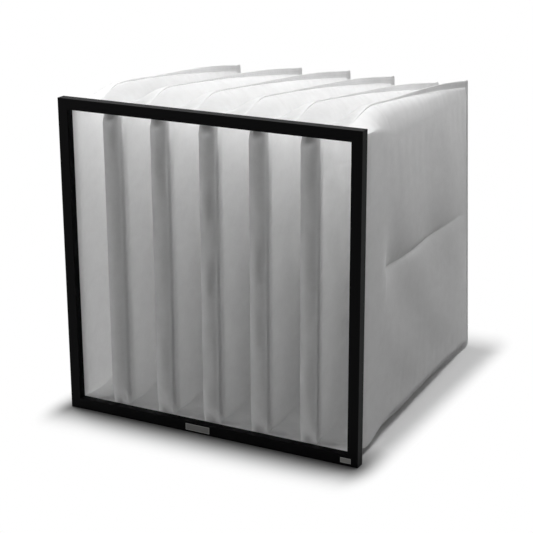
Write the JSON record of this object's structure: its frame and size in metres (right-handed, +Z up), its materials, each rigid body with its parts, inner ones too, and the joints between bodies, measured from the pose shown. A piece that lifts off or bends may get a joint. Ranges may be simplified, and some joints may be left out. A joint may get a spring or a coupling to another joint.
{
  "type": "bag air filter",
  "caption": "Deep pocket air filter for ventilation units: a square black plastic header frame holding a row of tall, tapering white fabric pockets with welded seams.",
  "frame": {"origin": "centre of the bounding box's base: on the plane the frame's bottom rail and the pockets' bottom flanges stand on", "axes": "+Z up, +Y from the front face to the rear of the pockets, +X across the face to the right as seen from the front"},
  "size_m": [0.592, 0.6402, 0.6009],
  "materials": {
    "frame_plastic": "black moulded plastic, slightly satin",
    "filter_media": "white nonwoven synthetic filter fabric, soft and matt",
    "spacer_scrim": "thin off-white scrim strip",
    "label_paper": "blank pale grey adhesive label"
  },
  "bodies": {
    "root": {"frame_front": "frame_plastic", "retaining_ring": "frame_plastic", "divider_bar_1": "frame_plastic", "divider_bar_2": "frame_plastic", "divider_bar_3": "frame_plastic", "divider_bar_4": "frame_plastic", "divider_bar_5": "frame_plastic", "media_sheet_left": "filter_media", "media_sheet_1": "filter_media", "media_sheet_2": "filter_media", "media_sheet_3": "filter_media", "media_sheet_4": "filter_media", "media_sheet_5": "filter_media", "media_sheet_right": "filter_media", "spacer_web_1": "spacer_scrim", "spacer_web_2": "spacer_scrim", "spacer_web_3": "spacer_scrim", "spacer_web_4": "spacer_scrim", "spacer_web_5": "spacer_scrim", "spacer_web_6": "spacer_scrim", "rating_label": "label_paper", "corner_label": "label_paper"}
  },
  "joints": []
}
